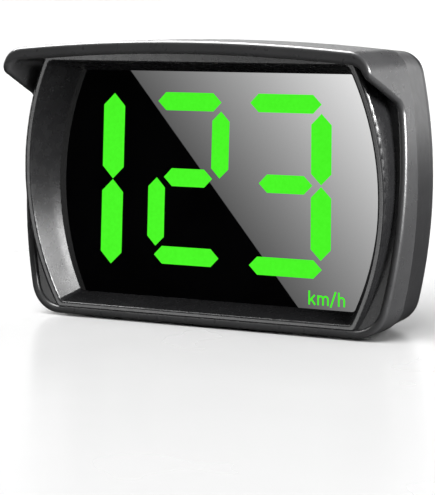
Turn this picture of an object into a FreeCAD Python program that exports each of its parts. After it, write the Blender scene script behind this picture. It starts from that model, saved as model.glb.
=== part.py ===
"""Hooded dashboard speed display: a GPS speedometer in a stand-alone moulded case.

Millimetres.  X runs along the width, the display faces -Y and Z points up.  The origin is on
the surface that the display stands on, under the middle of its box.
"""
import FreeCAD
import Part
import Sketcher
import math
import os
from collections import namedtuple

V = FreeCAD.Vector
doc = FreeCAD.newDocument("speed_display")

# ---------------------------------------------------------------- driving dimensions
DIMENSIONS = {
    # case
    "body_width": 100.0,        # over the bulge of the sides
    "stand_off": 0.6,           # the underside's height, carried by the round pad
    "body_height": 66.2,        # underside to the top of the crown
    "widest_height": 34.1,      # where the sides bulge furthest
    "side_bulge_radius": 125.0,
    "crown_radius": 470.0,
    "top_corner": 5.5,
    "base_corner": 8.0,
    "side_wall": 2.0,
    "roof_wall": 3.0,
    "lip_round": 0.9,
    "seam_round": 0.3,
    # depths, from front to back
    "hood_lip_y": -18.0,
    "seam_y": 3.0,
    "back_y": 18.0,
    "back_wall": 1.6,
    # the case's side edge: hood corner, foot of the hood's diagonal, underside
    "hood_corner_z": 59.2,
    "diagonal_foot_y": -2.4,
    "diagonal_foot_z": 52.6,
    "edge_foot_y": -7.9,
    # window and bezel
    "window_half": 42.15,
    "window_mid": 31.6,
    "window_side_radius": 62.0,
    "window_low": 5.6,
    "window_high": 59.3,
    "window_corner": 0.9,
    "lens_front_y": -1.0,
    "lens_thickness": 2.0,
    "lens_margin": 1.2,
    "rim_tilt": 3.4,            # degrees that the rim's plane leans forward
    "rim_foot_y": -7.1,         # the rim's plane where it meets the underside's level
    "rim_outer_half": 47.2,
    "rim_mid": 33.0,
    "rim_side_radius": 66.0,
    "mouth_half": 45.85,        # the funnel where it starts, a little in front of the rim
    "mouth_low": 3.2,
    "mouth_high": 62.0,
    "rim_inner_round": 0.5,
    "rim_outer_round": 0.8,
    "flange_step": 0.9,         # the flange lies this far behind the case's edge
    # digits
    "hundreds_top_z": 53.85,
    "hundreds_low_z": 12.75,
    "hundreds_stroke": 5.8,
    "tens_top_z": 52.25,
    "tens_mid_z": 34.35,
    "tens_low_z": 15.7,
    "tens_left": -17.2,
    "tens_width": 21.3,
    "tens_stroke": 4.5,
    "units_top_z": 52.4,
    "units_mid_z": 33.9,
    "units_low_z": 14.7,
    "units_left": 7.4,
    "units_width": 23.1,
    "units_stroke": 5.05,
    "stroke_across": 4.25,      # thickness of the level segments
    "glow_proud": 0.06,         # the light guides stand this far out of the lens
    # inner stack
    "reflector_back_y": 7.0,
    "board_thickness": 1.2,
    "main_board_y": 10.2,
    # mounting pad
    "pad_diameter": 22.5,
    "pad_thickness": 1.2,
    "pad_y": 5.2,
    # moving parts
    "button_diameter": 6.0,
    "button_proud": 0.7,
    "knob_length": 3.0,
}

sheet = doc.addObject("Spreadsheet::Sheet", "dims")
for row, (alias, number) in enumerate(DIMENSIONS.items(), start=1):
    sheet.set("A%d" % row, alias)
    sheet.set("B%d" % row, str(number))
    sheet.setAlias("B%d" % row, alias)
doc.recompute()


class Size:
    """A length with the expression that gives it from the sheet."""

    def __init__(self, value, text=None):
        self.value = float(value)
        self.text = text if text is not None else repr(float(value))

    @staticmethod
    def of(thing):
        return thing if isinstance(thing, Size) else Size(thing)

    def __add__(self, other):
        other = Size.of(other)
        return Size(self.value + other.value, "(%s + %s)" % (self.text, other.text))

    def __sub__(self, other):
        other = Size.of(other)
        return Size(self.value - other.value, "(%s - %s)" % (self.text, other.text))

    def __mul__(self, factor):
        return Size(self.value * factor, "(%s * %r)" % (self.text, float(factor)))

    def __truediv__(self, factor):
        return Size(self.value / factor, "(%s / %r)" % (self.text, float(factor)))

    def __neg__(self):
        return Size(-self.value, "(0 - %s)" % self.text)

    def __radd__(self, other):
        return Size.of(other) + self

    def __rsub__(self, other):
        return Size.of(other) - self


def dim(alias):
    """The driving dimension of that name, as a Size."""
    return Size(float(sheet.get(alias)), "dims." + alias)


def bind(target, prop, size):
    """Set a property from a size and tie it to the sheet."""
    target.setExpression(prop, Size.of(size).text)


# sizes that several pieces share
HALF = dim("body_width") / 2
BASE = dim("stand_off")
TOP = BASE + dim("body_height")
LIP = dim("hood_lip_y")
SEAM = dim("seam_y")
BACK = dim("back_y")
BACK_INSIDE = BACK - dim("back_wall")
LENS_FRONT = dim("lens_front_y")
LENS_BACK = LENS_FRONT + dim("lens_thickness")
MAIN_BOARD_BACK = dim("main_board_y") + dim("board_thickness")
SCREW_POSTS = [(side * 41.8, height) for side in (-1, 1) for height in (10.0, 56.8)]

NODES = []                      # every finished sub-part, in order


def finish(piece, label):
    """Name a finished sub-part."""
    piece.Label = label
    NODES.append(piece)
    return piece


# ---------------------------------------------------------------- outlines and sketches
Barrel = namedtuple("Barrel", "half mid side_radius low high low_corner high_corner crown")


def inset(barrel, gap):
    """The same outline, smaller by a gap all round."""
    return Barrel(barrel.half - gap, barrel.mid, barrel.side_radius - gap, barrel.low + gap,
                  barrel.high - gap, barrel.low_corner - gap, barrel.high_corner - gap,
                  None if barrel.crown is None else barrel.crown - gap)


CASE = Barrel(HALF, dim("widest_height"), dim("side_bulge_radius"), BASE, TOP,
              dim("base_corner"), dim("top_corner"), dim("crown_radius"))
CASE_INSIDE = Barrel(HALF - dim("side_wall"), dim("widest_height"),
                     dim("side_bulge_radius") - dim("side_wall"), BASE + dim("side_wall"),
                     TOP - dim("roof_wall"), dim("base_corner") - dim("side_wall"),
                     dim("top_corner") - dim("side_wall"),
                     dim("crown_radius") - dim("roof_wall"))
WINDOW = Barrel(dim("window_half"), dim("window_mid"), dim("window_side_radius"),
                dim("window_low"), dim("window_high"), dim("window_corner"),
                dim("window_corner"), None)
LENS = Barrel(WINDOW.half + dim("lens_margin"), WINDOW.mid,
              WINDOW.side_radius + dim("lens_margin"), WINDOW.low - dim("lens_margin"),
              WINDOW.high + dim("lens_margin"), Size(2.0), Size(2.0), None)


def origin_plane(body, role):
    return next(f for f in body.Origin.OriginFeatures if f.Role == role)


def new_sketch(body, name, role, offset, tilt=0.0):
    """A sketch on an origin plane of its own body, moved along the plane's normal."""
    sketch = body.newObject("Sketcher::SketchObject", name)
    sketch.AttachmentSupport = [(origin_plane(body, role), "")]
    sketch.MapMode = "FlatFace"
    sketch.AttachmentOffset = FreeCAD.Placement(V(0, 0, Size.of(offset).value),
                                                FreeCAD.Rotation(V(1, 0, 0), tilt))
    bind(sketch, "AttachmentOffset.Base.z", offset)
    return sketch


def upright_sketch(body, name, y, tilt=0.0):
    """A sketch that faces the front, at a depth y: its own x is X and its own y is Z."""
    return new_sketch(body, name, "XZ_Plane", -Size.of(y), tilt)


def barrel_corners(barrel):
    """Centres and angles of the corner arcs on the right-hand side of an outline."""
    radius = barrel.side_radius.value
    side = V(barrel.half.value - radius, barrel.mid.value, 0)
    low_r = barrel.low_corner.value
    high_r = barrel.high_corner.value
    low_v = barrel.low.value + low_r
    low = V(side.x + math.sqrt((radius - low_r) ** 2 - (low_v - side.y) ** 2), low_v, 0)
    if barrel.crown is None:
        high_v = barrel.high.value - high_r
        high = V(side.x + math.sqrt((radius - high_r) ** 2 - (high_v - side.y) ** 2), high_v, 0)
        crown_angle = math.pi / 2
    else:
        crown = V(0, barrel.high.value - barrel.crown.value, 0)
        high = meet(side, radius - high_r, crown, barrel.crown.value - high_r)
        crown_angle = math.atan2(high.y - crown.y, high.x - crown.x)
    low_angle = math.atan2(low.y - side.y, low.x - side.x)
    high_angle = math.atan2(high.y - side.y, high.x - side.x)
    return side, low, high, low_angle, high_angle, crown_angle


def meet(first, first_radius, second, second_radius):
    """The crossing of two circles that lies furthest to the upper right."""
    between = second - first
    gap = between.Length
    along = (gap ** 2 + first_radius ** 2 - second_radius ** 2) / (2 * gap)
    across = math.sqrt(first_radius ** 2 - along ** 2)
    unit = between / gap
    foot = first + unit * along
    ends = [foot + V(-unit.y, unit.x, 0) * sign * across for sign in (-1, 1)]
    return max(ends, key=lambda p: p.x + p.y)


def arc(centre, radius, start, end):
    return Part.ArcOfCircle(Part.Circle(centre, V(0, 0, 1), radius), start, end)


def draw_barrel(sketch, barrel):
    """Draw and constrain an outline: flat base, bulging sides, straight or crowned top."""
    side, low, high, low_a, high_a, crown_a = barrel_corners(barrel)
    turn = math.pi

    def flip(p):
        return V(-p.x, p.y, 0)

    low_r = barrel.low_corner.value
    high_r = barrel.high_corner.value
    radius = barrel.side_radius.value
    if barrel.crown is None:
        top = Part.LineSegment(V(high.x, barrel.high.value, 0), V(-high.x, barrel.high.value, 0))
    else:
        top = arc(V(0, barrel.high.value - barrel.crown.value, 0), barrel.crown.value,
                  crown_a, turn - crown_a)
    first = sketch.GeometryCount
    sketch.addGeometry([
        Part.LineSegment(V(-low.x, barrel.low.value, 0), V(low.x, barrel.low.value, 0)),
        arc(low, low_r, -turn / 2, low_a),
        arc(side, radius, low_a, high_a),
        arc(high, high_r, high_a, crown_a),
        top,
        arc(flip(high), high_r, turn - crown_a, turn - high_a),
        arc(flip(side), radius, turn - high_a, turn - low_a),
        arc(flip(low), low_r, turn - low_a, 1.5 * turn)], False)
    base, low_right, right, high_right, roof, high_left, left, low_left = range(first, first + 8)
    ring = [base, low_right, right, high_right, roof, high_left, left, low_left]
    for here, after in zip(ring, ring[1:] + ring[:1]):
        sketch.addConstraint(Sketcher.Constraint("Tangent", here, 2, after, 1))
    for pair in ((low_right, low_left), (high_right, high_left), (right, left)):
        sketch.addConstraint(Sketcher.Constraint("Equal", *pair))
    sketch.addConstraint(Sketcher.Constraint("Horizontal", base))
    sketch.addConstraint(Sketcher.Constraint("Symmetric", right, 3, left, 3, -2))
    hold(sketch, "DistanceY", (-1, 1, base, 1), barrel.low)
    hold(sketch, "Radius", (low_right,), barrel.low_corner)
    hold(sketch, "Radius", (high_right,), barrel.high_corner)
    hold(sketch, "Radius", (right,), barrel.side_radius)
    hold(sketch, "DistanceY", (-1, 1, right, 3), barrel.mid)
    hold(sketch, "DistanceX", (right, 3, -1, 1), barrel.side_radius - barrel.half)
    if barrel.crown is None:
        sketch.addConstraint(Sketcher.Constraint("Horizontal", roof))
        hold(sketch, "DistanceY", (-1, 1, roof, 1), barrel.high)
    else:
        sketch.addConstraint(Sketcher.Constraint("PointOnObject", roof, 3, -2))
        hold(sketch, "Radius", (roof,), barrel.crown)
        hold(sketch, "DistanceY", (roof, 3, -1, 1), barrel.crown - barrel.high)


def hold(sketch, kind, where, size):
    """Add a driving dimension to a sketch and tie it to the sheet."""
    size = Size.of(size)
    index = sketch.addConstraint(Sketcher.Constraint(kind, *where, size.value))
    bind(sketch, "Constraints[%d]" % index, size)


def draw_polygon(sketch, points):
    """Draw a closed outline whose corners are tied to the sheet."""
    points = [(Size.of(u), Size.of(v)) for u, v in points]
    count = len(points)
    first = sketch.GeometryCount
    for n in range(count):
        here, after = points[n], points[(n + 1) % count]
        sketch.addGeometry(Part.LineSegment(V(here[0].value, here[1].value, 0),
                                            V(after[0].value, after[1].value, 0)), False)
    for n in range(count):
        sketch.addConstraint(Sketcher.Constraint("Coincident", first + n, 2,
                                                 first + (n + 1) % count, 1))
    for n, (u, v) in enumerate(points):
        hold(sketch, "DistanceX", (-1, 1, first + n, 1), u)
        hold(sketch, "DistanceY", (-1, 1, first + n, 1), v)


def draw_circle(sketch, u, v, diameter):
    u, v, radius = Size.of(u), Size.of(v), Size.of(diameter) / 2
    index = sketch.addGeometry(Part.Circle(V(u.value, v.value, 0), V(0, 0, 1), radius.value), False)
    hold(sketch, "Radius", (index,), radius)
    hold(sketch, "DistanceX", (-1, 1, index, 3), u)
    hold(sketch, "DistanceY", (-1, 1, index, 3), v)


def draw_rectangle(sketch, u0, u1, v0, v1):
    draw_polygon(sketch, [(u0, v0), (u1, v0), (u1, v1), (u0, v1)])


# ---------------------------------------------------------------- features
def new_body(label):
    body = doc.addObject("PartDesign::Body", label)
    return body


def pad(body, sketch, length, backward=False):
    """Add material from a sketch; an upright sketch pads towards the front."""
    feature = body.newObject("PartDesign::Pad", sketch.Name + "_pad")
    feature.Profile = sketch
    bind(feature, "Length", length)
    feature.Reversed = backward
    sketch.Visibility = False
    doc.recompute()
    return feature


def pocket(body, sketch, length, forward=False, both=False):
    """Cut a sketch away; an upright sketch cuts towards the back unless forward is set."""
    before = body.Shape.Volume
    feature = body.newObject("PartDesign::Pocket", sketch.Name + "_cut")
    feature.Profile = sketch
    bind(feature, "Length", length)
    feature.Reversed = forward
    if both:
        feature.SideType = "Symmetric"
    sketch.Visibility = False
    doc.recompute()
    if not body.Shape.Volume < before - 0.01:
        raise RuntimeError("cut removes nothing: " + sketch.Name)
    return feature


def loft(body, kind, first, second):
    """Join two sketches, adding or subtracting."""
    feature = body.newObject("PartDesign::%sLoft" % kind, first.Name + "_loft")
    feature.Profile = first
    feature.Sections = [second]
    feature.Ruled = True
    doc.recompute()
    return feature


def fillet(body, radius, chosen):
    """Round the edges of the body's tip that the test picks."""
    tip = body.Tip
    names = ["Edge%d" % n for n, edge in enumerate(tip.Shape.Edges, start=1) if chosen(edge)]
    if not names:
        raise RuntimeError("no edge to round on " + body.Name)
    feature = body.newObject("PartDesign::Fillet", body.Name + "_round")
    feature.Base = (tip, names)
    bind(feature, "Radius", radius)
    doc.recompute()
    return feature


def box(name, x, y, z):
    """A block between three pairs of limits."""
    block = doc.addObject("Part::Box", name)
    for prop, axis, (start, end) in (("Length", "x", x), ("Width", "y", y), ("Height", "z", z)):
        start, end = Size.of(start), Size.of(end)
        bind(block, prop, end - start)
        bind(block, "Placement.Base." + axis, start)
    return block


TURN = {"x": FreeCAD.Rotation(V(0, 1, 0), 90), "y": FreeCAD.Rotation(V(1, 0, 0), -90),
        "z": FreeCAD.Rotation()}


def rod(name, diameter, length, start, axis="y"):
    """A round bar that starts at a point and runs along an axis."""
    bar = doc.addObject("Part::Cylinder", name)
    bar.Placement = FreeCAD.Placement(V(), TURN[axis])
    bind(bar, "Radius", Size.of(diameter) / 2)
    bind(bar, "Height", length)
    for letter, size in zip("xyz", start):
        bind(bar, "Placement.Base." + letter, size)
    return bar


def fuse(name, pieces):
    whole = doc.addObject("Part::MultiFuse", name)
    whole.Shapes = pieces
    return whole


def group(name, pieces):
    """Separate solids kept together as one sub-part."""
    whole = doc.addObject("Part::Compound", name)
    whole.Links = pieces
    return whole


def cut(name, base, tools):
    """Take one or more pieces away from another."""
    result = doc.addObject("Part::Cut", name)
    result.Base = base
    result.Tool = tools[0] if len(tools) == 1 else group(name + "_tools", tools)
    return result


def rounded(name, base, radius, chosen):
    """Round the edges of a piece that the test picks."""
    doc.recompute()
    result = doc.addObject("Part::Fillet", name)
    result.Base = base
    result.Edges = [(n, radius, radius) for n, edge in enumerate(base.Shape.Edges, start=1)
                    if chosen(edge)]
    return result


def runs_along(edge, axis):
    """True for a straight edge parallel to an axis."""
    if len(edge.Vertexes) != 2 or edge.Curve.TypeId != "Part::GeomLine":
        return False
    ends = [v.Point for v in edge.Vertexes]
    run = ends[1] - ends[0]
    return abs(abs(getattr(run, axis)) - run.Length) < 1e-6


# ---------------------------------------------------------------- case
def cut_pad_recess(body):
    """The round recess in the underside, across the seam, for the mounting pad."""
    sketch = new_sketch(body, body.Name + "_pad_recess", "XY_Plane", BASE)
    draw_circle(sketch, 0.001, dim("pad_y"), dim("pad_diameter"))
    pocket(body, sketch, dim("pad_thickness") - BASE, forward=True)


def make_housing_shell():
    body = new_body("housing_shell")
    outside = upright_sketch(body, "housing_outside", SEAM)
    draw_barrel(outside, CASE)
    pad(body, outside, SEAM - LIP)
    fillet(body, dim("seam_round"), lambda edge: edge.BoundBox.YMin > SEAM.value - 0.01)

    # side edge: underside, slanting front edge, hood diagonal, hood corner
    side = new_sketch(body, "housing_side_edge", "YZ_Plane", 0.0)
    beyond = LIP - 5.0
    slope = (dim("hood_corner_z") - dim("diagonal_foot_z")).value / \
        (dim("diagonal_foot_y") - LIP).value
    draw_polygon(side, [(beyond, Size(-4.0)), (dim("edge_foot_y"), Size(-4.0)),
                        (dim("diagonal_foot_y"), dim("diagonal_foot_z")),
                        (beyond, dim("hood_corner_z") + 5.0 * slope)])
    pocket(body, side, dim("body_width") + 20.0, both=True)

    def at_corner(y, z):
        def chosen(edge):
            centre = edge.BoundBox.Center
            return runs_along(edge, "x") and abs(centre.y - y) < 0.3 and abs(centre.z - z) < 0.3
        return chosen

    fillet(body, 3.0, at_corner(dim("diagonal_foot_y").value, dim("diagonal_foot_z").value))
    fillet(body, 2.2, at_corner(LIP.value, dim("hood_corner_z").value))

    inside = upright_sketch(body, "housing_inside", LIP - 1.0)
    draw_barrel(inside, CASE_INSIDE)
    pocket(body, inside, SEAM - LIP + 3.0)

    def on_lip(edge):
        return edge.BoundBox.YMax < LIP.value + 0.01

    fillet(body, dim("lip_round"), on_lip)
    cut_pad_recess(body)
    return finish(body, "housing_shell")


def make_front_bezel():
    body = new_body("front_bezel")
    flange = upright_sketch(body, "bezel_flange", LENS_BACK)
    draw_barrel(flange, CASE_INSIDE)
    pad(body, flange, 12.0)

    # the flange's face follows the case's side edge, a little behind it
    step = dim("flange_step")
    rise = (dim("diagonal_foot_z") - BASE).value
    lean = (dim("diagonal_foot_y") - dim("edge_foot_y")).value / rise
    above, below = 16.0, Size(-4.0)     # how far the cut reaches past the flange
    top_y = dim("diagonal_foot_y") + step + above * lean
    face = new_sketch(body, "bezel_flange_face", "YZ_Plane", 0.0)
    draw_polygon(face, [(LIP, below), (dim("edge_foot_y") + step, below),
                        (top_y, dim("diagonal_foot_z") + above),
                        (LIP, dim("diagonal_foot_z") + above)])
    pocket(body, face, dim("body_width") + 20.0, both=True)

    # raised rim on its own leaning plane; what reaches past the case's inside is trimmed later
    tilt = dim("rim_tilt").value
    rim = upright_sketch(body, "bezel_rim", dim("rim_foot_y"), tilt)
    draw_barrel(rim, Barrel(dim("rim_outer_half"), dim("rim_mid"), dim("rim_side_radius"),
                            BASE + 0.4, TOP + 1.0, Size(4.0), Size(3.0), None))
    pad(body, rim, 14.0, backward=True)

    # funnel from the rim to the window
    mouth = upright_sketch(body, "bezel_mouth", dim("rim_foot_y") - 1.0, tilt)
    draw_barrel(mouth, Barrel(dim("mouth_half"), dim("rim_mid"), dim("rim_side_radius") - 1.0,
                              dim("mouth_low"), dim("mouth_high"), Size(1.3), Size(2.4), None))
    throat = upright_sketch(body, "bezel_throat", LENS_FRONT)
    draw_barrel(throat, WINDOW)
    loft(body, "Subtractive", mouth, throat)

    def middle(edge):
        return edge.valueAt((edge.FirstParameter + edge.LastParameter) / 2)

    def on_rim_plane(edge):
        spot = middle(edge) - V(0, dim("rim_foot_y").value, 0)
        lean_out = math.radians(tilt)
        return abs(spot.y * math.cos(lean_out) + spot.z * math.sin(lean_out)) < 0.02

    def on_rim_outline(edge):
        return rim.Shape.distToShape(Part.Vertex(middle(edge)))[0] < 0.02

    fillet(body, dim("rim_inner_round"),
           lambda edge: on_rim_plane(edge) and not on_rim_outline(edge))
    fillet(body, dim("rim_outer_round"),
           lambda edge: on_rim_plane(edge) and on_rim_outline(edge))

    flat = upright_sketch(body, "bezel_back", LENS_BACK)
    draw_rectangle(flat, -60.0, 60.0, -5.0, 80.0)
    pocket(body, flat, 14.0)
    outside = upright_sketch(body, "bezel_trim", LIP)
    draw_rectangle(outside, -60.0, 60.0, -5.0, 80.0)
    draw_barrel(outside, CASE_INSIDE)
    pocket(body, outside, 30.0)
    seat = upright_sketch(body, "bezel_lens_seat", LENS_FRONT)
    draw_barrel(seat, LENS)
    pocket(body, seat, dim("lens_thickness") + 1.0)

    # posts for the case screws, with pilot holes
    posts = upright_sketch(body, "bezel_posts", LENS_BACK)
    for x, z in SCREW_POSTS:
        draw_circle(posts, x, z, 4.2)
    pad(body, posts, 10.0, backward=True)
    holes = upright_sketch(body, "bezel_pilot_holes", LENS_BACK + 2.0)
    for x, z in SCREW_POSTS:
        draw_circle(holes, x, z, 1.8)
    pocket(body, holes, 9.0)
    return finish(body, "front_bezel")


def make_rear_cover():
    body = new_body("rear_cover")
    rear_outline = Barrel(HALF - 1.7, CASE.mid, CASE.side_radius - 1.7, BASE + 0.3, TOP - 0.8,
                          CASE.low_corner - 0.6, CASE.high_corner + 0.5, CASE.crown - 0.8)
    end = upright_sketch(body, "rear_end_block", BACK - 3.2)
    draw_barrel(end, rear_outline)
    pad(body, end, 3.2, backward=True)
    fillet(body, 2.2, lambda edge: edge.BoundBox.YMin > BACK.value - 0.05)
    front = upright_sketch(body, "rear_front_outline", SEAM)
    draw_barrel(front, inset(CASE, 0.2))
    back = upright_sketch(body, "rear_back_outline", BACK - 3.2)
    draw_barrel(back, rear_outline)
    loft(body, "Additive", front, back)

    hollow = upright_sketch(body, "rear_hollow_front", SEAM - 0.5)
    draw_barrel(hollow, inset(CASE, 2.1))
    floor = upright_sketch(body, "rear_hollow_back", BACK_INSIDE)
    draw_barrel(floor, inset(rear_outline, 1.9))
    loft(body, "Subtractive", hollow, floor)

    bosses = upright_sketch(body, "rear_bosses", BACK_INSIDE + 0.1)
    for x, z in SCREW_POSTS:
        draw_circle(bosses, x, z, 5.2)
    pad(body, bosses, BACK_INSIDE + 0.1 - POST_END)
    board_bosses = upright_sketch(body, "rear_board_bosses", BACK_INSIDE + 0.1)
    for x, z in BOARD_BOSSES:
        draw_circle(board_bosses, x, z, 4.6)
    pad(body, board_bosses, BACK_INSIDE + 0.1 - MAIN_BOARD_BACK)
    backing = upright_sketch(body, "rear_panel_backing", BACK_INSIDE + 0.1)
    draw_rectangle(backing, -35.8, 35.8, PANEL_LOW - 1.6, PANEL_HIGH + 1.6)
    pad(body, backing, 1.7)

    def cut_back(name, y, draw):
        sketch = upright_sketch(body, name, y)
        draw(sketch)
        pocket(body, sketch, BACK + 1.0 - y)

    def case_screw_holes(sketch):
        for x, z in SCREW_POSTS:
            draw_circle(sketch, x, z, 2.4)

    def head_recesses(sketch):
        for x, z in SCREW_POSTS:
            draw_circle(sketch, x, z, 4.2)

    def sound_holes(sketch):
        draw_circle(sketch, SOUNDER[0], SOUNDER[1], 1.1)
        for turn in range(6):
            angle = math.radians(60 * turn)
            draw_circle(sketch, SOUNDER[0] + 2.4 * math.cos(angle),
                        SOUNDER[1] + 2.4 * math.sin(angle), 1.1)

    cut_back("rear_screw_holes", POST_END - 0.5, case_screw_holes)
    cut_back("rear_head_recesses", HEAD_SEAT, head_recesses)
    cut_back("rear_panel_recess", BACK - 1.6,
             lambda s: draw_rectangle(s, -34.0, 34.0, PANEL_LOW, PANEL_HIGH))
    cut_back("rear_usb_mouth", BACK_INSIDE - 0.5, lambda s: draw_slot(s, USB, 9.6, 3.9))
    cut_back("rear_switch_slot", BACK_INSIDE - 0.5,
             lambda s: draw_rectangle(s, SWITCH[0] - 2.8, SWITCH[0] + 2.8,
                                      SWITCH[1] - 1.6, SWITCH[1] + 1.6))
    cut_back("rear_sound_holes", BACK_INSIDE - 0.5, sound_holes)

    wire_hole = upright_sketch(body, "rear_wire_hole", BACK - 4.0)
    draw_circle(wire_hole, SOLAR_LEADS_X, SOLAR_LEADS_TOP, 3.6)
    pocket(body, wire_hole, 3.0)
    pilots = upright_sketch(body, "rear_board_pilots", MAIN_BOARD_BACK - 0.5)
    for x, z in BOARD_BOSSES:
        draw_circle(pilots, x, z, 1.8)
    pocket(body, pilots, 4.5)
    button_hole = new_sketch(body, "rear_button_hole", "YZ_Plane", -42.5)
    draw_circle(button_hole, BUTTON[0], BUTTON[1], dim("button_diameter") + 0.6)
    pocket(body, button_hole, 10.0)
    cut_pad_recess(body)
    return finish(body, "rear_cover")


# ---------------------------------------------------------------- display
def prism(name, points, front, back):
    """A straight-sided piece between two depths, from an outline in X and Z."""
    outline = doc.addObject("Part::Polygon", name + "_outline")
    outline.Nodes = [V(x, 0, z) for x, z in points]
    outline.Close = True
    front, back = Size.of(front), Size.of(back)
    block = doc.addObject("Part::Extrusion", name)
    block.Base = outline
    block.DirMode = "Custom"
    block.Dir = V(0, 1, 0)
    block.Solid = True
    bind(block, "LengthFwd", back)
    bind(block, "LengthRev", -front)
    return block


def bar_points(x0, z0, x1, z1, width):
    """A six-sided segment with 45-degree tips, from tip to tip."""
    run = V(x1 - x0, z1 - z0, 0)
    unit = run / run.Length
    side = V(-unit.y, unit.x, 0) * (width / 2)
    tips = [V(x0, z0, 0), V(x1, z1, 0)]
    point = unit * (width / 2)
    corners = [tips[0], tips[0] + point - side, tips[1] - point - side,
               tips[1], tips[1] - point + side, tips[0] + point + side]
    return [(corner.x, corner.y) for corner in corners]


def digit_segments(digit, lean, lit):
    """Outlines of the seven segments of one digit, split into lit and dark ones."""
    top, mid, low = (dim("%s_%s_z" % (digit, row)).value for row in ("top", "mid", "low"))
    left, width = dim(digit + "_left").value, dim(digit + "_width").value
    stroke, across = dim(digit + "_stroke").value, dim("stroke_across").value
    columns = (left + stroke / 2, left + width - stroke / 2)

    def column(side, z):
        return columns[side] + lean * (z - mid)

    def upright(side, z_from, z_to):
        return bar_points(column(side, z_from), z_from, column(side, z_to), z_to, stroke)

    def level(z, inset):
        return bar_points(column(0, z) + inset, z, column(1, z) - inset, z, across)

    tip = 2.1       # the uprights stop this far from the top and bottom rows
    gap = 0.2       # half the gap where two uprights meet
    segments = {
        "top": level(top, 0.0), "middle": level(mid, stroke / 2 - 0.3),
        "bottom": level(low, -0.3),
        "upper_left": upright(0, top - tip, mid + gap),
        "upper_right": upright(1, top - tip, mid + gap),
        "lower_left": upright(0, mid - gap, low + tip),
        "lower_right": upright(1, mid - gap, low + tip)}
    return ([segments[name] for name in lit],
            [points for name, points in segments.items() if name not in lit])


def one_segments():
    """The leading digit can only be a one: two tall segments."""
    top, low = dim("hundreds_top_z").value, dim("hundreds_low_z").value
    stroke = dim("hundreds_stroke").value
    mid = (top + low) / 2
    gap = 0.1

    def x(z):
        return -27.1 + 0.037 * (z - mid)
    return [bar_points(x(top), top, x(mid + gap), mid + gap, stroke),
            bar_points(x(mid - gap), mid - gap, x(low), low, stroke)]


def stroke_points(x0, z0, x1, z1, width):
    """A straight pen stroke with square ends."""
    run = V(x1 - x0, z1 - z0, 0)
    side = V(-run.y, run.x, 0) * (width / 2 / run.Length)
    corners = [V(x0, z0, 0) + side, V(x0, z0, 0) - side, V(x1, z1, 0) - side, V(x1, z1, 0) + side]
    return [(corner.x, corner.y) for corner in corners]


def arch_points(x, z, outer, width, steps=10):
    """A half-ring pen stroke, open at the bottom."""
    ring = []
    for radius, order in ((outer, range(steps + 1)), (outer - width, range(steps, -1, -1))):
        for n in order:
            angle = math.pi * n / steps
            ring.append((x + radius * math.cos(angle), z + radius * math.sin(angle)))
    return ring


def unit_letters():
    """Pen strokes of the unit, letter by letter, on a common base line."""
    pen = 0.42
    x, z = 24.95, 6.55
    tall, small = 3.25, 2.3
    half = pen / 2
    k = [stroke_points(x + half, z, x + half, z + tall, pen),
         stroke_points(x + half, z + 0.75, x + 1.6, z + small, pen),
         stroke_points(x + 0.78, z + 1.25, x + 1.7, z + 0.02, pen)]
    x += 2.25
    bow = 0.83
    m = [stroke_points(x + half, z, x + half, z + small, pen)]
    for n in (0, 1):
        centre = x + bow + n * (2 * bow - pen)
        m.append(arch_points(centre, z + small - bow, bow, pen))
        m.append(stroke_points(centre + bow - half, z, centre + bow - half, z + small - bow, pen))
    x += 3.35
    slash = [stroke_points(x, z - 0.35, x + 1.25, z + tall + 0.1, pen)]
    x += 1.85
    bow = 0.88
    h = [stroke_points(x + half, z, x + half, z + tall, pen),
         arch_points(x + bow, z + small - bow, bow, pen),
         stroke_points(x + 2 * bow - half, z, x + 2 * bow - half, z + small - bow, pen)]
    return {"k": k, "m": m, "slash": slash, "h": h}


TENS_LIT, TENS_DARK = digit_segments("tens", 0.03,
                                     ("top", "upper_right", "middle", "lower_left", "bottom"))
UNITS_LIT, UNITS_DARK = digit_segments("units", 0.0,
                                       ("top", "upper_right", "middle", "lower_right", "bottom"))
SEGMENTS = {"hundreds_segments": one_segments(), "tens_segments": TENS_LIT,
            "units_segments": UNITS_LIT, "dark_segments": TENS_DARK + UNITS_DARK}
GUIDE_BACK = LENS_BACK + 2.0


def all_segments():
    return [points for outlines in SEGMENTS.values() for points in outlines]


def make_light_guides():
    """The clear segments that carry the light through the smoked lens."""
    for label, outlines in SEGMENTS.items():
        front = LENS_FRONT if label == "dark_segments" else LENS_FRONT - dim("glow_proud")
        guides = [prism("%s_%d" % (label, n), points, front, GUIDE_BACK)
                  for n, points in enumerate(outlines)]
        finish(group(label, guides), label)
    letters = []
    for letter, strokes in unit_letters().items():
        pieces = [prism("unit_%s_%d" % (letter, n), points, LENS_FRONT - dim("glow_proud"),
                        LENS_FRONT + 1.0) for n, points in enumerate(strokes)]
        letters.append(fuse("unit_" + letter, pieces) if len(pieces) > 1 else pieces[0])
    return finish(group("unit_legend", letters), "unit_legend")


def make_display_lens(legend):
    body = new_body("lens_blank")
    sheet_outline = upright_sketch(body, "lens_outline", LENS_BACK)
    draw_barrel(sheet_outline, LENS)
    pad(body, sheet_outline, dim("lens_thickness"))
    windows = [prism("lens_window_%d" % n, points, LENS_FRONT - 1.0, LENS_BACK + 1.0)
               for n, points in enumerate(all_segments())]
    return finish(cut("display_lens", body, windows + [legend]), "display_lens")


def make_gasket():
    body = new_body("lens_gasket")
    ring = upright_sketch(body, "gasket_ring", GASKET_BACK)
    draw_barrel(ring, inset(LENS, 0.2))
    draw_barrel(ring, WINDOW)
    pad(body, ring, GASKET_BACK - LENS_BACK)
    return finish(body, "lens_gasket")


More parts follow.
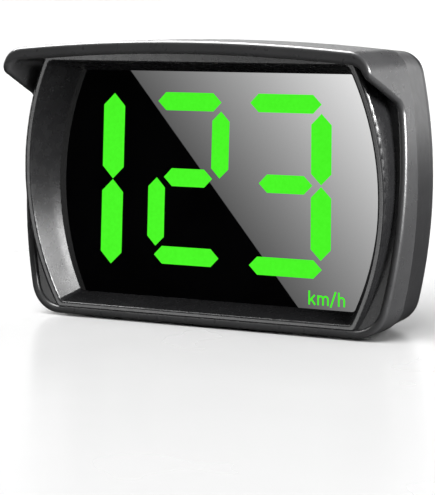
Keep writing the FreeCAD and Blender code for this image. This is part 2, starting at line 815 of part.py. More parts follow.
def make_reflector():
    """White light box: a flange behind the gasket, one cell per segment, a shelf for the aerial."""
    plate = new_body("reflector_flange")
    outline = upright_sketch(plate, "reflector_flange_outline", GASKET_BACK + 1.4)
    draw_barrel(outline, inset(LENS, 0.4))
    pad(plate, outline, 1.4)
    block = box("reflector_block", (-35.5, 35.5), (LENS_BACK, dim("reflector_back_y")),
                (6.4, 56.8))
    shelf = box("aerial_shelf", (-8.5, 8.5), (dim("reflector_back_y") - 2.0, 14.4),
                (DISPLAY_BOARD_TOP + 0.2, AERIAL_LOW))
    web = box("aerial_shelf_web", (-8.5, 8.5), (dim("reflector_back_y") - 3.0,
              dim("reflector_back_y")), (56.0, AERIAL_LOW))
    cells = [prism("reflector_cell_%d" % n, points, 0.0, dim("reflector_back_y") + 1.0)
             for n, points in enumerate(all_segments())]
    sensor_hole = rod("sensor_hole", 2.0, 3.0, (SENSOR[0], 1.0, SENSOR[1]))
    screw_holes = [rod("reflector_pilot_%d" % n, 1.6, 4.5,
                       (x, dim("reflector_back_y") - 4.0, z))
                   for n, (x, z) in enumerate(DISPLAY_SCREWS)]
    whole = fuse("reflector_solid", [plate, block, shelf, web])
    return finish(cut("segment_reflector", whole, cells + [sensor_hole] + screw_holes),
                  "segment_reflector")


# ---------------------------------------------------------------- electronics
POST_END = Size(11.0)
HEAD_SEAT = Size(14.4)
BOARD_BOSSES = [(-20.5, 23.6), (20.5, 23.6)]
DISPLAY_SCREWS = [(side * 33.4, height) for side in (-1, 1) for height in (12.0, 54.6)]
PANEL_LOW = Size(29.4)
PANEL_HIGH = Size(57.4)
USB = (-13.0, 15.2)
SWITCH = (9.0, 15.2)
SOUNDER = (28.6, 16.0)
BUTTON = (12.8, 20.0)           # its depth and height
SOLAR_LEADS_X = 15.2
SOLAR_LEADS_TOP = 37.0
GASKET_BACK = LENS_BACK + 0.8
SENSOR = (36.8, 37.0)
DISPLAY_BOARD_TOP = Size(57.0)
AERIAL_LOW = Size(58.6)
DISPLAY_BOARD_BACK = dim("reflector_back_y") + dim("board_thickness")


def draw_slot(sketch, centre, length, height):
    """A slot with round ends, level, about a centre."""
    u, v = centre
    radius = height / 2
    reach = length / 2 - radius
    first = sketch.GeometryCount
    sketch.addGeometry([
        Part.LineSegment(V(u - reach, v - radius, 0), V(u + reach, v - radius, 0)),
        arc(V(u + reach, v, 0), radius, -math.pi / 2, math.pi / 2),
        Part.LineSegment(V(u + reach, v + radius, 0), V(u - reach, v + radius, 0)),
        arc(V(u - reach, v, 0), radius, math.pi / 2, 1.5 * math.pi)], False)
    for n in range(4):
        sketch.addConstraint(Sketcher.Constraint("Tangent", first + n, 2, first + (n + 1) % 4, 1))
    sketch.addConstraint(Sketcher.Constraint("Horizontal", first))
    hold(sketch, "Radius", (first + 1,), radius)
    hold(sketch, "DistanceX", (first + 3, 3, first + 1, 3), 2 * reach)
    hold(sketch, "DistanceX", (-1, 1, first + 1, 3), u + reach)
    hold(sketch, "DistanceY", (-1, 1, first + 1, 3), v)


def screw(name, x, z, seat, head, head_height, shank, reach, towards_back):
    """A cross-head screw along Y: its head sits at a depth and its shank runs on from there."""
    if towards_back:
        head_start, shank_start = seat - head_height, seat
        slot_y = (seat - head_height - 0.1, seat - head_height + 0.7)
    else:
        head_start, shank_start = seat, seat - reach
        slot_y = (seat + head_height - 0.7, seat + head_height + 0.1)
    solid = fuse(name + "_solid", [rod(name + "_head", head, head_height, (x, head_start, z)),
                                   rod(name + "_shank", shank, reach, (x, shank_start, z))])
    long, thin = head * 0.29, 0.3
    slots = [box(name + "_slot_a", (x - long, x + long), slot_y, (z - thin, z + thin)),
             box(name + "_slot_b", (x - thin, x + thin), slot_y, (z - long, z + long))]
    return cut(name, solid, slots)


def make_screws():
    case = [screw("case_screw_%d" % n, x, z, HEAD_SEAT, 3.6, 1.6, 1.8, HEAD_SEAT - 3.6, False)
            for n, (x, z) in enumerate(SCREW_POSTS)]
    finish(group("case_screws", case), "case_screws")
    display = [screw("display_screw_%d" % n, x, z, DISPLAY_BOARD_BACK, 2.8, 0.9, 1.6, Size(4.4),
                     False) for n, (x, z) in enumerate(DISPLAY_SCREWS)]
    finish(group("display_board_screws", display), "display_board_screws")
    main = [screw("main_screw_%d" % n, x, z, dim("main_board_y"), 3.4, 1.0, 1.8, Size(5.0), True)
            for n, (x, z) in enumerate(BOARD_BOSSES)]
    finish(group("main_board_screws", main), "main_board_screws")


def make_boards():
    display = box("display_board_blank", (-38.4, 38.4), (dim("reflector_back_y"),
                  DISPLAY_BOARD_BACK), (8.0, DISPLAY_BOARD_TOP))
    holes = [rod("display_board_hole_%d" % n, 1.6, 3.0, (x, dim("reflector_back_y") - 0.5, z))
             for n, (x, z) in enumerate(DISPLAY_SCREWS)]
    finish(cut("display_board", display, holes), "display_board")
    main = box("main_board_blank", (-38.0, 36.6), (dim("main_board_y"), MAIN_BOARD_BACK),
               (7.0, 27.0))
    holes = [rod("main_board_hole_%d" % n, 1.8, 3.0, (x, dim("main_board_y") - 0.5, z))
             for n, (x, z) in enumerate(BOARD_BOSSES)]
    finish(cut("main_board", main, holes), "main_board")


def make_display_parts():
    """Light-emitting diodes in the cells, driver chips, the light sensor and the board link."""
    board = dim("reflector_back_y")
    diodes = []
    for number, points in enumerate(all_segments()):
        tips = [V(points[n][0], points[n][1], 0) for n in (0, 3)]
        for end, share in enumerate((0.28, 0.72)):
            spot = tips[0] + (tips[1] - tips[0]) * share
            diodes.append(box("diode_%d_%d" % (number, end), (spot.x - 0.8, spot.x + 0.8),
                              (board - 0.7, board), (spot.y - 0.4, spot.y + 0.4)))
    finish(group("segment_leds", diodes), "segment_leds")
    drivers = [box("driver_%d" % n, (x - 5.0, x + 5.0), (DISPLAY_BOARD_BACK,
                   DISPLAY_BOARD_BACK + 1.1), (40.0, 46.0)) for n, x in enumerate((-20.0, 18.0))]
    finish(group("display_driver_chips", drivers), "display_driver_chips")
    finish(box("light_sensor", (SENSOR[0] - 0.9, SENSOR[0] + 0.9), (board - 0.8, board),
               (SENSOR[1] - 1.4, SENSOR[1] + 1.4)), "light_sensor")
    finish(box("board_link_header", (-8.6, 8.6), (DISPLAY_BOARD_BACK, dim("main_board_y")),
               (22.5, 25.0)), "board_link_header")


def chip(name, x, z, width, height, thickness):
    return box(name, (x - width / 2, x + width / 2),
               (MAIN_BOARD_BACK, MAIN_BOARD_BACK + thickness), (z - height / 2, z + height / 2))


def make_main_board_parts():
    chips = [chip("processor", -4.0, 21.0, 7.0, 7.0, 1.0),
             chip("charger_chip", -4.0, 11.4, 3.0, 3.0, 0.9),
             chip("memory_chip", 3.4, 22.0, 4.0, 5.0, 1.2),
             chip("coil", -21.0, 12.0, 4.0, 4.0, 2.0)]
    finish(group("main_board_chips", chips), "main_board_chips")
    can = rounded("gps_can", chip("gps_can_block", -30.6, 18.2, 11.6, 14.4, 2.4), 0.5,
                  lambda edge: runs_along(edge, "y"))
    finish(can, "gps_module_can")
    plugs = [chip("battery_plug", -12.6, 24.2, 5.0, 4.0, 2.6),
             chip("solar_plug", SOLAR_LEADS_X - 0.2, 24.2, 5.0, 4.0, 2.6),
             chip("aerial_plug", 9.4, 24.6, 2.6, 2.6, 1.2)]
    finish(group("wire_connectors", plugs), "wire_connectors")

    can_body = rod("sounder_can", 9.0, 4.0, (SOUNDER[0], MAIN_BOARD_BACK, SOUNDER[1]))
    port = rod("sounder_port", 1.6, 1.0, (SOUNDER[0], MAIN_BOARD_BACK + 3.5, SOUNDER[1]))
    finish(cut("sounder", can_body, [port]), "sounder")
    finish(box("mode_tact_switch", (-42.4, -38.0), (MAIN_BOARD_BACK, MAIN_BOARD_BACK + 2.8),
               (BUTTON[1] - 2.2, BUTTON[1] + 2.2)), "mode_tact_switch")


def oval_bar(name, width, height, front, back):
    """A bar of oval section for the charging socket."""
    body = new_body(name)
    sketch = upright_sketch(body, name + "_section", back)
    draw_slot(sketch, USB, width, height)
    pad(body, sketch, Size.of(back) - front)
    return body


def make_usb_socket():
    mouth = BACK - 0.3
    shell = oval_bar("usb_shell_outside", 8.94, 3.26, MAIN_BOARD_BACK, mouth)
    hollow = oval_bar("usb_shell_inside", 8.34, 2.56, MAIN_BOARD_BACK + 0.8, BACK + 0.5)
    finish(cut("usb_c_socket", shell, [hollow]), "usb_c_socket")
    finish(box("usb_c_tongue", (USB[0] - 3.3, USB[0] + 3.3), (MAIN_BOARD_BACK + 0.8, mouth - 0.6),
               (USB[1] - 0.35, USB[1] + 0.35)), "usb_c_tongue")


def make_power_switch():
    """Slide switch: a body on the board and a ribbed knob in the rear cover's slot."""
    x, z = SWITCH
    finish(box("power_switch_body", (x - 4.4, x + 4.4), (MAIN_BOARD_BACK, Size(15.3)),
               (z - 2.2, z + 2.2)), "power_switch_body")
    left = x - 2.5
    half = dim("knob_length") / 2
    middle = left + half
    foot = box("knob_foot", (middle - 3.2, middle + 3.2), (15.4, 16.2), (z - 2.4, z + 2.4))
    grip = rounded("knob_grip", box("knob_block", (middle - half, middle + half), (15.8, 17.9),
                                    (z - 1.2, z + 1.2)), 0.3,
                   lambda edge: edge.BoundBox.YMin > 17.8)
    ribs = [box("knob_groove_%d" % n, (middle + offset - 0.2, middle + offset + 0.2),
                (17.6, 18.2), (z - 1.5, z + 1.5)) for n, offset in enumerate((-0.8, 0.0, 0.8))]
    finish(cut("power_switch_knob", fuse("knob_solid", [foot, grip]), ribs), "power_switch_knob")


def make_mode_button():
    """Push button in the left side: a cap, a collar that keeps it in, and a stem."""
    y, z = BUTTON
    outer = Size(-47.75) - dim("button_proud")
    cap = rounded("button_cap", rod("button_cap_rod", dim("button_diameter"),
                                    Size(-45.1) - outer, (outer, y, z), "x"), 0.5,
                  lambda edge: edge.BoundBox.XMax < outer.value + 0.05)
    collar = rod("button_collar", 6.4, 0.8, (-45.2, y, z), "x")
    stem = rod("button_stem", 2.4, 1.5, (-44.5, y, z), "x")
    finish(fuse("mode_button", [cap, collar, stem]), "mode_button")


def make_aerial():
    patch = rounded("aerial_patch", box("aerial_block", (-5.3, 5.3), (3.6, 14.2),
                                        (AERIAL_LOW + 0.8, AERIAL_LOW + 4.4)), 0.4,
                    lambda edge: runs_along(edge, "z"))
    finish(patch, "gps_aerial")
    finish(box("aerial_board", (-6.0, 6.0), (3.4, 14.4), (AERIAL_LOW, AERIAL_LOW + 0.8)),
           "aerial_board")


def make_battery():
    cell = rounded("battery_pouch", box("battery_block", (-34.0, 5.0), (9.8, 13.8),
                                        (30.5, 56.0)), 1.6, lambda edge: runs_along(edge, "z"))
    finish(cell, "battery_cell")
    finish(box("battery_foam_tape", (-30.0, 1.0), (13.8, BACK_INSIDE - 1.6), (34.0, 52.0)),
           "battery_foam_tape")


def make_solar_panel():
    """Rear panel: a backing sheet, eight cell strips in series and a clear cover."""
    floor = BACK - 1.6
    low, high = PANEL_LOW + 0.15, PANEL_HIGH - 0.15
    finish(box("solar_panel_backing", (-33.85, 33.85), (floor, floor + 0.8), (low, high)),
           "solar_panel_backing")
    strip = 7.6
    pitch = 8.0
    cells = [box("solar_cell_%d" % n, ((n - 4) * pitch + 0.2, (n - 4) * pitch + 0.2 + strip),
                 (floor + 0.8, floor + 1.0), (low + 1.5, high - 1.5)) for n in range(8)]
    finish(group("solar_cells", cells), "solar_cells")
    cover = box("solar_cover_block", (-33.85, 33.85), (floor + 0.8, floor + 1.4), (low, high))
    finish(cut("solar_panel_cover", cover, cells), "solar_panel_cover")


def wire(name, points, diameter):
    """A round wire along straight runs joined by tangent arcs."""
    points = [V(*p) for p in points]
    edges = []
    start = points[0]
    for before, corner, after in zip(points, points[1:], points[2:]):
        into = (corner - before) / (corner - before).Length
        out = (after - corner) / (after - corner).Length
        half_turn = into.getAngle(out) / 2
        back_off = 0.45 * min((corner - before).Length, (after - corner).Length)
        first, last = corner - into * back_off, corner + out * back_off
        radius = back_off / math.tan(half_turn)
        inward = (out - into) / (out - into).Length
        centre = corner + inward * (radius / math.cos(half_turn))
        middle = centre - inward * radius
        edges += [Part.LineSegment(start, first).toShape(), Part.Arc(first, middle, last).toShape()]
        start = last
    edges.append(Part.LineSegment(start, points[-1]).toShape())
    path = Part.Wire(edges)
    ring = Part.Wire(Part.Circle(points[0], points[1] - points[0], diameter / 2).toShape())
    tube = path.makePipeShell([ring], True, True)
    if abs(tube.Volume / (math.pi * diameter ** 2 / 4 * path.Length) - 1) > 0.02:
        raise RuntimeError("wire has the wrong volume: " + name)
    strand = doc.addObject("Part::Feature", name)
    strand.Shape = tube
    return strand


def make_wires():
    plug_top = 26.2
    depth = MAIN_BOARD_BACK.value + 1.3
    battery = [wire("battery_lead_%d" % n, [(x, 11.8, 30.5), (x, depth - 0.4, 28.4),
                                            (x, depth, plug_top)], 1.0)
               for n, x in enumerate((-13.4, -11.8))]
    finish(group("battery_leads", battery), "battery_leads")
    panel_back = BACK.value - 1.6
    solar = [wire("solar_lead_%d" % n, [(x, panel_back, SOLAR_LEADS_TOP),
                                        (x, depth, SOLAR_LEADS_TOP), (x, depth, plug_top)], 1.0)
             for n, x in enumerate((SOLAR_LEADS_X - 0.8, SOLAR_LEADS_X + 0.8))]
    finish(group("solar_leads", solar), "solar_leads")
    high = AERIAL_LOW.value + 0.6
    coax = wire("aerial_coax", [(6.0, 10.8, high), (9.4, 10.8, high), (9.4, 10.8, 44.0),
                                (9.4, MAIN_BOARD_BACK.value + 0.7, 30.0),
                                (9.4, MAIN_BOARD_BACK.value + 0.7, 25.9)], 1.1)
    finish(coax, "aerial_coax")


def make_mount_pad():
    finish(rod("mount_pad", dim("pad_diameter"), dim("pad_thickness"), (0.0, dim("pad_y"), 0.0),
               "z"), "mount_pad")


# ---------------------------------------------------------------- assembly
make_housing_shell()
make_front_bezel()
make_rear_cover()
legend_letters = make_light_guides()
make_display_lens(legend_letters)
make_gasket()
make_reflector()
make_boards()
make_display_parts()
make_main_board_parts()
make_usb_socket()
make_power_switch()
make_mode_button()
make_aerial()
make_battery()
make_solar_panel()
make_wires()
make_screws()
make_mount_pad()
doc.recompute()

for thing in doc.Objects:
    if "Invalid" in thing.State or "Error" in thing.State:
        raise RuntimeError("failed object: %s (%s)" % (thing.Label, thing.Name))
for piece in NODES:
    if piece.Shape.isNull() or not piece.Shape.isValid() or not piece.Shape.Solids:
        raise RuntimeError("bad shape: " + piece.Label)

os.makedirs("parts", exist_ok=True)
for piece in NODES:
    piece.Shape.exportStep(os.path.join("parts", piece.Label + ".step"))
    span = piece.Shape.BoundBox
    print("%-22s %3d solids %10.1f mm3  y %6.2f %6.2f  z %6.2f %6.2f" % (
        piece.Label, len(piece.Shape.Solids), piece.Shape.Volume,
        span.YMin, span.YMax, span.ZMin, span.ZMax))
print(len(NODES), "nodes")
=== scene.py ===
"""Looks of the dashboard speed display: materials, studio, camera.

Metres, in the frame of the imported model: X runs along the width, the display faces -Y and
Z points up.  Every sub-part of the model stays as packed and gets its finish here.
"""
import bpy
import math
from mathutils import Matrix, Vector


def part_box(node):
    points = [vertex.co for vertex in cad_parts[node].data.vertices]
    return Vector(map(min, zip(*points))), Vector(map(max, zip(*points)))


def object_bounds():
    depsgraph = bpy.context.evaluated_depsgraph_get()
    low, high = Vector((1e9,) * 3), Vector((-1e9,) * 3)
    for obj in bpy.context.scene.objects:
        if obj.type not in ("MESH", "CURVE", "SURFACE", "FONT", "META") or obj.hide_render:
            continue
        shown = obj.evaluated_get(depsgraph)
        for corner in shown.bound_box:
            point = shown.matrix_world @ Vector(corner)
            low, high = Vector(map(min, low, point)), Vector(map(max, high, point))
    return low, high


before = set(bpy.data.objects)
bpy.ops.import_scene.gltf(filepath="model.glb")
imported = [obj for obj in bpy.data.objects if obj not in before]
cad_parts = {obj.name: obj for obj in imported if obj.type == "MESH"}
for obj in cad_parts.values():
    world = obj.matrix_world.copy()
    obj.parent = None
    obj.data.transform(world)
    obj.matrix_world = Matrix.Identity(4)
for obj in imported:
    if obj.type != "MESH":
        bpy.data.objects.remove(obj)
CAD_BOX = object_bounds()
MM = 0.001


# ---------------------------------------------------------------- node helpers
class Finish:
    """A node material that is read in the object's own metres."""

    def __init__(self, name, **shader_values):
        self.material = bpy.data.materials.new(name)
        self.material.use_nodes = True
        self.tree = self.material.node_tree
        self.shader = self.tree.nodes["Principled BSDF"]
        for socket, value in shader_values.items():
            self.shader.inputs[socket.replace("_", " ")].default_value = value
        self.place = self.add("ShaderNodeTexCoord").outputs["Object"]

    def add(self, kind, **settings):
        node = self.tree.nodes.new(kind)
        for key, value in settings.items():
            setattr(node, key, value)
        return node

    def link(self, source, target):
        self.tree.links.new(source, target)

    def stretched(self, x=1.0, y=1.0, z=1.0):
        """The place, stretched along the axes."""
        mapping = self.add("ShaderNodeMapping")
        mapping.inputs["Scale"].default_value = (x, y, z)
        self.link(self.place, mapping.inputs["Vector"])
        return mapping.outputs["Vector"]

    def noise(self, feature, detail=3.0, place=None):
        """Soft noise whose blots are about one feature across."""
        node = self.add("ShaderNodeTexNoise")
        node.inputs["Scale"].default_value = 1 / feature
        node.inputs["Detail"].default_value = detail
        self.link(place or self.place, node.inputs["Vector"])
        return node.outputs["Fac"]

    def cells(self, size, output="Distance"):
        """Voronoi cells of about that size."""
        node = self.add("ShaderNodeTexVoronoi")
        node.inputs["Scale"].default_value = 1 / size
        self.link(self.place, node.inputs["Vector"])
        return node.outputs[output]

    def spread(self, value, low, high):
        """The middle of a noise, stretched to run from low to high."""
        node = self.add("ShaderNodeMapRange")
        for socket, number in zip(("From Min", "From Max", "To Min", "To Max"),
                                  (0.3, 0.7, low, high)):
            node.inputs[socket].default_value = number
        self.link(value, node.inputs["Value"])
        return node.outputs["Result"]

    def tint(self, value, dark, light, target="Base Color"):
        """Colour that runs from dark to light with a value."""
        node = self.add("ShaderNodeMix", data_type="RGBA")
        node.inputs["A"].default_value = (*dark, 1.0)
        node.inputs["B"].default_value = (*light, 1.0)
        self.link(value, node.inputs["Factor"])
        if target:
            self.link(node.outputs["Result"], self.shader.inputs[target])
        return node.outputs["Result"]

    def over(self, mask, colour, below):
        """The base colour: a colour laid over another one where a mask is 1."""
        node = self.add("ShaderNodeMix", data_type="RGBA")
        self.link(below, node.inputs["A"])
        node.inputs["B"].default_value = (*colour, 1.0)
        self.link(mask, node.inputs["Factor"])
        self.link(node.outputs["Result"], self.shader.inputs["Base Color"])

    def roughness(self, value, low, high):
        self.link(self.spread(value, low, high), self.shader.inputs["Roughness"])

    def relief(self, height, depth):
        """Bump of that depth, at its full strength."""
        node = self.add("ShaderNodeBump")
        node.inputs["Strength"].default_value = 1.0
        node.inputs["Distance"].default_value = depth
        self.link(height, node.inputs["Height"])
        self.link(node.outputs["Normal"], self.shader.inputs["Normal"])

    def compute(self, operation, *values):
        """One step of arithmetic on sockets and numbers."""
        node = self.add("ShaderNodeMath", operation=operation)
        for socket, value in zip(node.inputs, values):
            if isinstance(value, (int, float)):
                socket.default_value = value
            else:
                self.link(value, socket)
        return node.outputs["Value"]

    def lines(self, along, pitch, width, start=0.0):
        """1 on thin lines that repeat along an axis, 0 between them."""
        axes = self.add("ShaderNodeSeparateXYZ")
        self.link(self.place, axes.inputs["Vector"])
        moved = self.compute("SUBTRACT", axes.outputs[along], start)
        turn = self.compute("FLOORED_MODULO", moved, pitch)
        return self.compute("LESS_THAN", turn, width)


# ---------------------------------------------------------------- finishes
def moulded(name, dark, light, rough, grain=0.30 * MM):
    """Injection-moulded plastic: flow-mottled colour, uneven gloss and a fine eroded grain."""
    finish = Finish(name)
    finish.tint(finish.spread(finish.noise(9 * MM), 0.0, 1.0), dark, light)
    finish.roughness(finish.noise(2.5 * MM, 5.0), *rough)
    finish.relief(finish.noise(grain, 2.0), 0.002 * MM)
    return finish.material


def case_grey(name):
    return moulded(name, (0.019, 0.019, 0.0195), (0.0225, 0.0225, 0.023), (0.26, 0.32))


# Painted shade: this darker grey stands in for the shade on the rear cover, which turns back away
# from the side lights.
def rear_grey(name):
    return moulded(name, (0.0085, 0.0085, 0.0089), (0.0105, 0.0105, 0.0109), (0.30, 0.36))


def bezel_black(name):
    return moulded(name, (0.0055, 0.0055, 0.0058), (0.0070, 0.0070, 0.0074), (0.24, 0.30))


def button_black(name):
    return moulded(name, (0.020, 0.020, 0.021), (0.028, 0.028, 0.029), (0.30, 0.38))


def chip_black(name):
    return moulded(name, (0.015, 0.015, 0.016), (0.024, 0.024, 0.025), (0.5, 0.6),
                   grain=0.12 * MM)


def connector_white(name):
    return moulded(name, (0.70, 0.67, 0.58), (0.80, 0.77, 0.69), (0.38, 0.48))


def white_plastic(name):
    return moulded(name, (0.78, 0.78, 0.76), (0.86, 0.86, 0.84), (0.42, 0.52))


def smoked(name):
    """Polished smoked acrylic: nearly opaque, with faint wipe marks in its gloss."""
    finish = Finish(name, IOR=1.49)
    depth = finish.noise(20 * MM)
    finish.tint(finish.spread(depth, 0.0, 1.0), (0.0004, 0.0004, 0.0005), (0.0009, 0.0009, 0.001))
    wiped = finish.noise(6 * MM, 4.0, finish.stretched(0.35, 1.0, 1.0))
    finish.roughness(wiped, 0.004, 0.012)
    return finish.material


def green_guide(name):
    """Frosted light guide, evenly lit from behind."""
    finish = Finish(name, Specular_IOR_Level=0.0, Roughness=0.6)
    finish.tint(finish.noise(1.5 * MM), (0.004, 0.03, 0.002), (0.006, 0.04, 0.003))
    frost = finish.spread(finish.noise(0.8 * MM, 4.0), 0.0, 1.0)
    finish.tint(frost, (0.060, 0.865, 0.016), (0.068, 0.915, 0.020), "Emission Color")
    finish.shader.inputs["Emission Strength"].default_value = 1.0
    return finish.material


def foam(name, dark, light, cell):
    """Closed-cell foam."""
    finish = Finish(name, Specular_IOR_Level=0.25)
    pores = finish.cells(cell)
    finish.tint(pores, dark, light)
    finish.roughness(finish.noise(cell * 3), 0.82, 0.95)
    finish.relief(pores, cell * 0.25)
    return finish.material


def gasket_foam(name):
    return foam(name, (0.012, 0.012, 0.012), (0.03, 0.03, 0.03), 0.25 * MM)


def pad_black(name):
    return foam(name, (0.003, 0.003, 0.003), (0.008, 0.008, 0.008), 0.3 * MM)


def foam_tape(name):
    return foam(name, (0.55, 0.55, 0.52), (0.72, 0.72, 0.69), 0.2 * MM)


def circuit_board(name):
    """Green solder mask over copper tracks."""
    finish = Finish(name, Coat_Weight=0.4, Coat_Roughness=0.15)
    base = finish.tint(finish.spread(finish.noise(5 * MM), 0.0, 1.0),
                       (0.008, 0.10, 0.035), (0.014, 0.14, 0.05), None)
    tracks = finish.compute("MAXIMUM", finish.lines("X", 2.2 * MM, 0.3 * MM),
                            finish.lines("Z", 3.1 * MM, 0.3 * MM))
    finish.over(tracks, (0.03, 0.24, 0.08), base)
    finish.roughness(finish.noise(1.2 * MM), 0.30, 0.42)
    finish.relief(tracks, 0.03 * MM)
    return finish.material


def led_yellow(name):
    """Phosphor-filled window in a white diode package."""
    finish = Finish(name, Coat_Weight=0.3)
    finish.tint(finish.cells(0.4 * MM), (0.85, 0.74, 0.28), (0.90, 0.86, 0.70))
    finish.roughness(finish.noise(0.5 * MM), 0.25, 0.40)
    return finish.material


def plated(name, dark, light, rough):
    """Plated sheet metal with fine drawing marks along X."""
    finish = Finish(name, Metallic=1.0)
    drawn = finish.noise(0.25 * MM, 4.0, finish.stretched(0.08, 1.0, 1.0))
    finish.tint(finish.spread(drawn, 0.0, 1.0), dark, light)
    finish.roughness(drawn, *rough)
    finish.relief(drawn, 0.01 * MM)
    return finish.material


def bright_metal(name):
    return plated(name, (0.60, 0.60, 0.61), (0.74, 0.74, 0.74), (0.22, 0.36))


def screw_steel(name):
    return plated(name, (0.16, 0.16, 0.17), (0.25, 0.25, 0.26), (0.28, 0.42))


def ceramic(name):
    """Fired ceramic with fine specks."""
    finish = Finish(name)
    finish.tint(finish.spread(finish.noise(0.5 * MM, 6.0), 0.0, 1.0),
                (0.45, 0.34, 0.20), (0.60, 0.50, 0.34))
    finish.roughness(finish.noise(1.0 * MM), 0.45, 0.60)
    finish.relief(finish.noise(0.3 * MM), 0.02 * MM)
    return finish.material


def pouch_foil(name):
    """Crinkled aluminium laminate."""
    finish = Finish(name, Metallic=0.9)
    crinkle = finish.noise(4 * MM, 6.0)
    finish.tint(finish.spread(crinkle, 0.0, 1.0), (0.55, 0.55, 0.57), (0.72, 0.72, 0.74))
    finish.roughness(crinkle, 0.25, 0.40)
    finish.relief(crinkle, 0.25 * MM)
    return finish.material


def solar_silicon(name):
    """Polycrystalline cells: blue grains, silver fingers and two busbars."""
    finish = Finish(name, Coat_Weight=0.5, Coat_Roughness=0.06)
    grains = finish.cells(2.4 * MM, "Color")
    bright = finish.add("ShaderNodeSeparateColor")
    finish.link(grains, bright.inputs["Color"])
    blue = finish.tint(bright.outputs["Red"], (0.006, 0.012, 0.055), (0.014, 0.035, 0.13), None)
    fingers = finish.lines("X", 1.25 * MM, 0.11 * MM)
    low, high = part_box("solar_cells")
    bars = finish.lines("Z", (high.z - low.z) / 4, 0.5 * MM, low.z + (high.z - low.z) / 8)
    silver = finish.compute("MAXIMUM", fingers, bars)
    finish.over(silver, (0.55, 0.56, 0.57), blue)
    finish.roughness(bright.outputs["Green"], 0.22, 0.40)
    finish.relief(silver, 0.02 * MM)
    return finish.material


def clear_epoxy(name):
    """Clear cast cover with a slightly wavy surface."""
    finish = Finish(name, IOR=1.5, Transmission_Weight=1.0)
    finish.tint(finish.noise(12 * MM), (0.94, 0.96, 0.99), (0.98, 0.99, 1.0))
    finish.roughness(finish.noise(8 * MM, 2.0), 0.02, 0.06)
    finish.relief(finish.noise(7 * MM, 1.0), 0.04 * MM)
    return finish.material


def sleeved(name, dark, light):
    """PVC wire insulation."""
    finish = Finish(name)
    finish.tint(finish.spread(finish.noise(1.5 * MM), 0.0, 1.0), dark, light)
    finish.roughness(finish.noise(0.8 * MM), 0.32, 0.45)
    finish.relief(finish.noise(0.4 * MM), 0.01 * MM)
    return finish.material


def wire_red(name):
    return sleeved(name, (0.38, 0.012, 0.012), (0.50, 0.022, 0.020))


def wire_black(name):
    return sleeved(name, (0.010, 0.010, 0.010), (0.020, 0.020, 0.020))


FINISHES = {make.__name__: make for make in (
    case_grey, rear_grey, bezel_black, button_black, chip_black, connector_white,
    white_plastic, green_guide, gasket_foam, pad_black, foam_tape, circuit_board, led_yellow,
    bright_metal, screw_steel, ceramic, pouch_foil, solar_silicon, clear_epoxy, wire_red,
    wire_black)}
FINISHES["smoked_lens"] = smoked
FINISHES["dark_guide"] = smoked


def dress_nodes():
    """Give every sub-part the finish of its slot."""
    made = {}
    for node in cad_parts.values():
        for holder in node.material_slots:
            slot = holder.material.name
            if slot not in made:
                made[slot] = FINISHES[slot](slot + "_finish")
            holder.material = made[slot]
            if slot == "clear_epoxy":
                node.visible_shadow = False     # the cells under it are lit
            if slot == "green_guide":
                # the guides are seen, but don't tint the walls round them
                node.visible_diffuse = False
                node.visible_glossy = False


# ---------------------------------------------------------------- studio
CAMERA_AZIMUTH = math.radians(28.0)
CAMERA_BEARING = math.radians(28.09)    # of its place, seen from the object
CAMERA_DROP = math.radians(7.15)        # how far it looks down
CAMERA_DISTANCE = 0.4526
CAMERA_HEIGHT = 0.0749
CAMERA_LENS = 141.1


def add_camera():
    data = bpy.data.cameras.new("camera")
    data.lens = CAMERA_LENS
    data.clip_start = 0.01
    camera = bpy.data.objects.new("camera", data)
    camera.location = (CAMERA_DISTANCE * math.sin(CAMERA_BEARING),
                       -CAMERA_DISTANCE * math.cos(CAMERA_BEARING), CAMERA_HEIGHT)
    camera.rotation_euler = (math.pi / 2 - CAMERA_DROP, 0, CAMERA_AZIMUTH)
    bpy.context.scene.collection.objects.link(camera)
    bpy.context.scene.camera = camera
    return camera


def add_mesh(name, corners, faces, material):
    mesh = bpy.data.meshes.new(name)
    mesh.from_pydata(corners, [], faces)
    mesh.materials.append(material)
    thing = bpy.data.objects.new(name, mesh)
    bpy.context.scene.collection.objects.link(thing)
    return thing


def floor_finish():
    """White board with a soft sheen."""
    finish = Finish("studio_white", Specular_IOR_Level=0.30)
    finish.tint(finish.noise(0.15), (0.90, 0.90, 0.90), (0.92, 0.92, 0.92))
    finish.roughness(finish.noise(0.05), 0.24, 0.28)
    return finish.material


FLOOR_RADIUS = 2.0
WALL_HEIGHT = 0.5


def add_floor():
    """A round floor and a wall round it; the case only mirrors the wall's rear half."""
    white = floor_finish()
    steps = 48
    ring = [(FLOOR_RADIUS * math.cos(2 * math.pi * i / steps),
             FLOOR_RADIUS * math.sin(2 * math.pi * i / steps)) for i in range(steps)]
    floor = add_mesh("floor", [(x, y, 0) for x, y in ring], [list(range(steps))], white)
    floor.visible_glossy = False
    halves = []
    for name, first in (("rear_wall", 0), ("front_wall", steps // 2)):
        line = [ring[(first + i) % steps] for i in range(steps // 2 + 1)]
        corners = [(x, y, z) for x, y in line for z in (0, WALL_HEIGHT)]
        faces = [(2 * i, 2 * i + 1, 2 * i + 3, 2 * i + 2) for i in range(steps // 2)]
        halves.append(add_mesh(name, corners, faces, white))
    halves[1].visible_glossy = False
    return [floor, *halves]


SOFTBOX_DISTANCE = 0.9
SURROUND_STRENGTH = 0.34
FLOOR_LIGHT_STRENGTH = 3.6


def collect(name, things):
    """A collection of objects that a light is linked to."""
    collection = bpy.data.collections.new(name)
    for thing in things:
        collection.objects.link(thing)
    return collection


def add_light(name, kind, power, lit):
    """A lamp that only lights the objects of one collection."""
    data = bpy.data.lights.new(name, kind)
    data.energy = power
    lamp = bpy.data.objects.new(name, data)
    lamp.light_linking.receiver_collection = lit
    bpy.context.scene.collection.objects.link(lamp)
    return lamp


